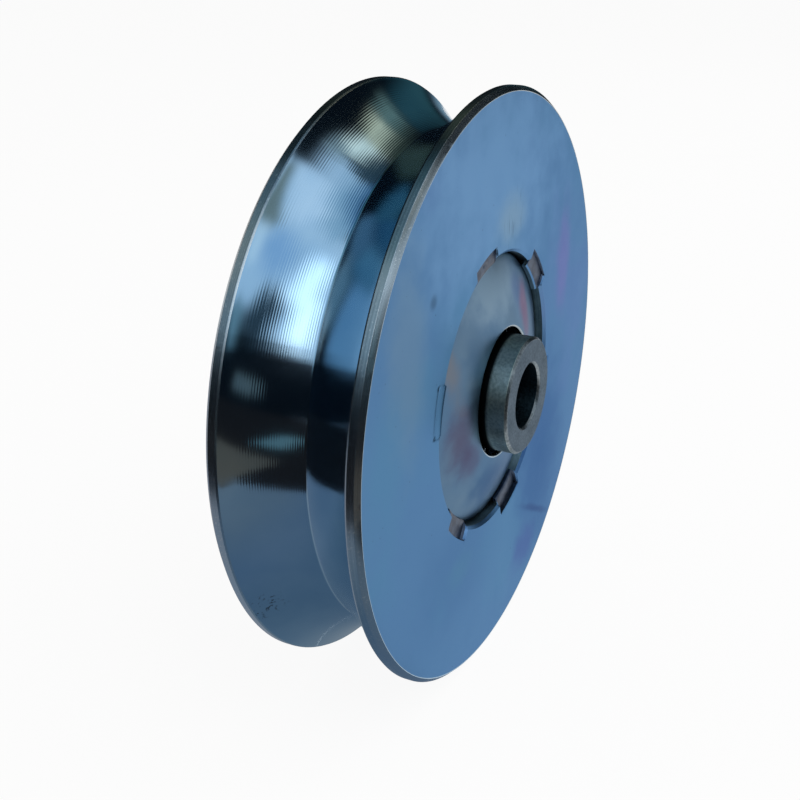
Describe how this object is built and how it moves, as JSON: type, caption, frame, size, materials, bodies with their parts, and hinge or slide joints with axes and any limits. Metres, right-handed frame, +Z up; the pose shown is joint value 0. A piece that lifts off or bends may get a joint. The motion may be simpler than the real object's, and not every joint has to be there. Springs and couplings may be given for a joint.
{
  "type": "u-groove gate wheel",
  "caption": "Turned steel gate wheel with a wide groove that runs on a round rail, carried by a ball bearing on a bored hub bush behind domed covers.",
  "frame": {"origin": "centre of the wheel, on its axis and half way between the flange faces", "axes": "+Y along the axis, away from the staked face; +Z up, +X along the rail"},
  "size_m": [0.1, 0.036, 0.1],
  "materials": {
    "zinc_wheel": "turned steel, zinc plated with a blue passivate",
    "zinc_cover": "pressed steel sheet, zinc plated, dulled",
    "hub_steel": "heat treated steel, dark matt grey",
    "bearing_steel": "ground bearing steel",
    "cage_steel": "pressed steel sheet, oiled"
  },
  "bodies": {
    "hub": {"hub_bush": "hub_steel", "bearing_inner_ring": "bearing_steel"},
    "wheel": {"wheel_body": "zinc_wheel", "bearing_outer_ring": "bearing_steel", "front_cover": "zinc_cover", "rear_cover": "zinc_cover"},
    "cage": {"cage_front_half": "cage_steel", "cage_rear_half": "cage_steel", "cage_rivets": "cage_steel"},
    "ball_1": {"ball_1": "bearing_steel"},
    "ball_2": {"ball_2": "bearing_steel"},
    "ball_3": {"ball_3": "bearing_steel"},
    "ball_4": {"ball_4": "bearing_steel"},
    "ball_5": {"ball_5": "bearing_steel"},
    "ball_6": {"ball_6": "bearing_steel"},
    "ball_7": {"ball_7": "bearing_steel"},
    "ball_8": {"ball_8": "bearing_steel"}
  },
  "joints": [
    {"name": "wheel_spin", "type": "hinge", "parent": "hub", "child": "wheel", "pos_m": [0, 0, 0], "axis": [0, 1, 0], "continuous": true},
    {"name": "cage_spin", "type": "hinge", "parent": "hub", "child": "cage", "pos_m": [0, 0, 0], "axis": [0, 1, 0], "continuous": true},
    {"name": "ball_1_spin", "type": "hinge", "parent": "cage", "child": "ball_1", "pos_m": [0.01675, 0, 0], "axis": [0, 1, 0], "continuous": true},
    {"name": "ball_2_spin", "type": "hinge", "parent": "cage", "child": "ball_2", "pos_m": [0.01184, 0, 0.01184], "axis": [0, 1, 0], "continuous": true},
    {"name": "ball_3_spin", "type": "hinge", "parent": "cage", "child": "ball_3", "pos_m": [0, 0, 0.01675], "axis": [0, 1, 0], "continuous": true},
    {"name": "ball_4_spin", "type": "hinge", "parent": "cage", "child": "ball_4", "pos_m": [-0.01184, 0, 0.01184], "axis": [0, 1, 0], "continuous": true},
    {"name": "ball_5_spin", "type": "hinge", "parent": "cage", "child": "ball_5", "pos_m": [-0.01675, 0, 0], "axis": [0, 1, 0], "continuous": true},
    {"name": "ball_6_spin", "type": "hinge", "parent": "cage", "child": "ball_6", "pos_m": [-0.01184, 0, -0.01184], "axis": [0, 1, 0], "continuous": true},
    {"name": "ball_7_spin", "type": "hinge", "parent": "cage", "child": "ball_7", "pos_m": [0, 0, -0.01675], "axis": [0, 1, 0], "continuous": true},
    {"name": "ball_8_spin", "type": "hinge", "parent": "cage", "child": "ball_8", "pos_m": [0.01184, 0, -0.01184], "axis": [0, 1, 0], "continuous": true}
  ],
  "couplings": [
    {"joint": "cage_spin", "follows": "wheel_spin", "ratio": 0.61848},
    {"joint": "ball_1_spin", "follows": "wheel_spin", "ratio": 1.9916},
    {"joint": "ball_2_spin", "follows": "wheel_spin", "ratio": 1.9916},
    {"joint": "ball_3_spin", "follows": "wheel_spin", "ratio": 1.9916},
    {"joint": "ball_4_spin", "follows": "wheel_spin", "ratio": 1.9916},
    {"joint": "ball_5_spin", "follows": "wheel_spin", "ratio": 1.9916},
    {"joint": "ball_6_spin", "follows": "wheel_spin", "ratio": 1.9916},
    {"joint": "ball_7_spin", "follows": "wheel_spin", "ratio": 1.9916},
    {"joint": "ball_8_spin", "follows": "wheel_spin", "ratio": 1.9916}
  ]
}
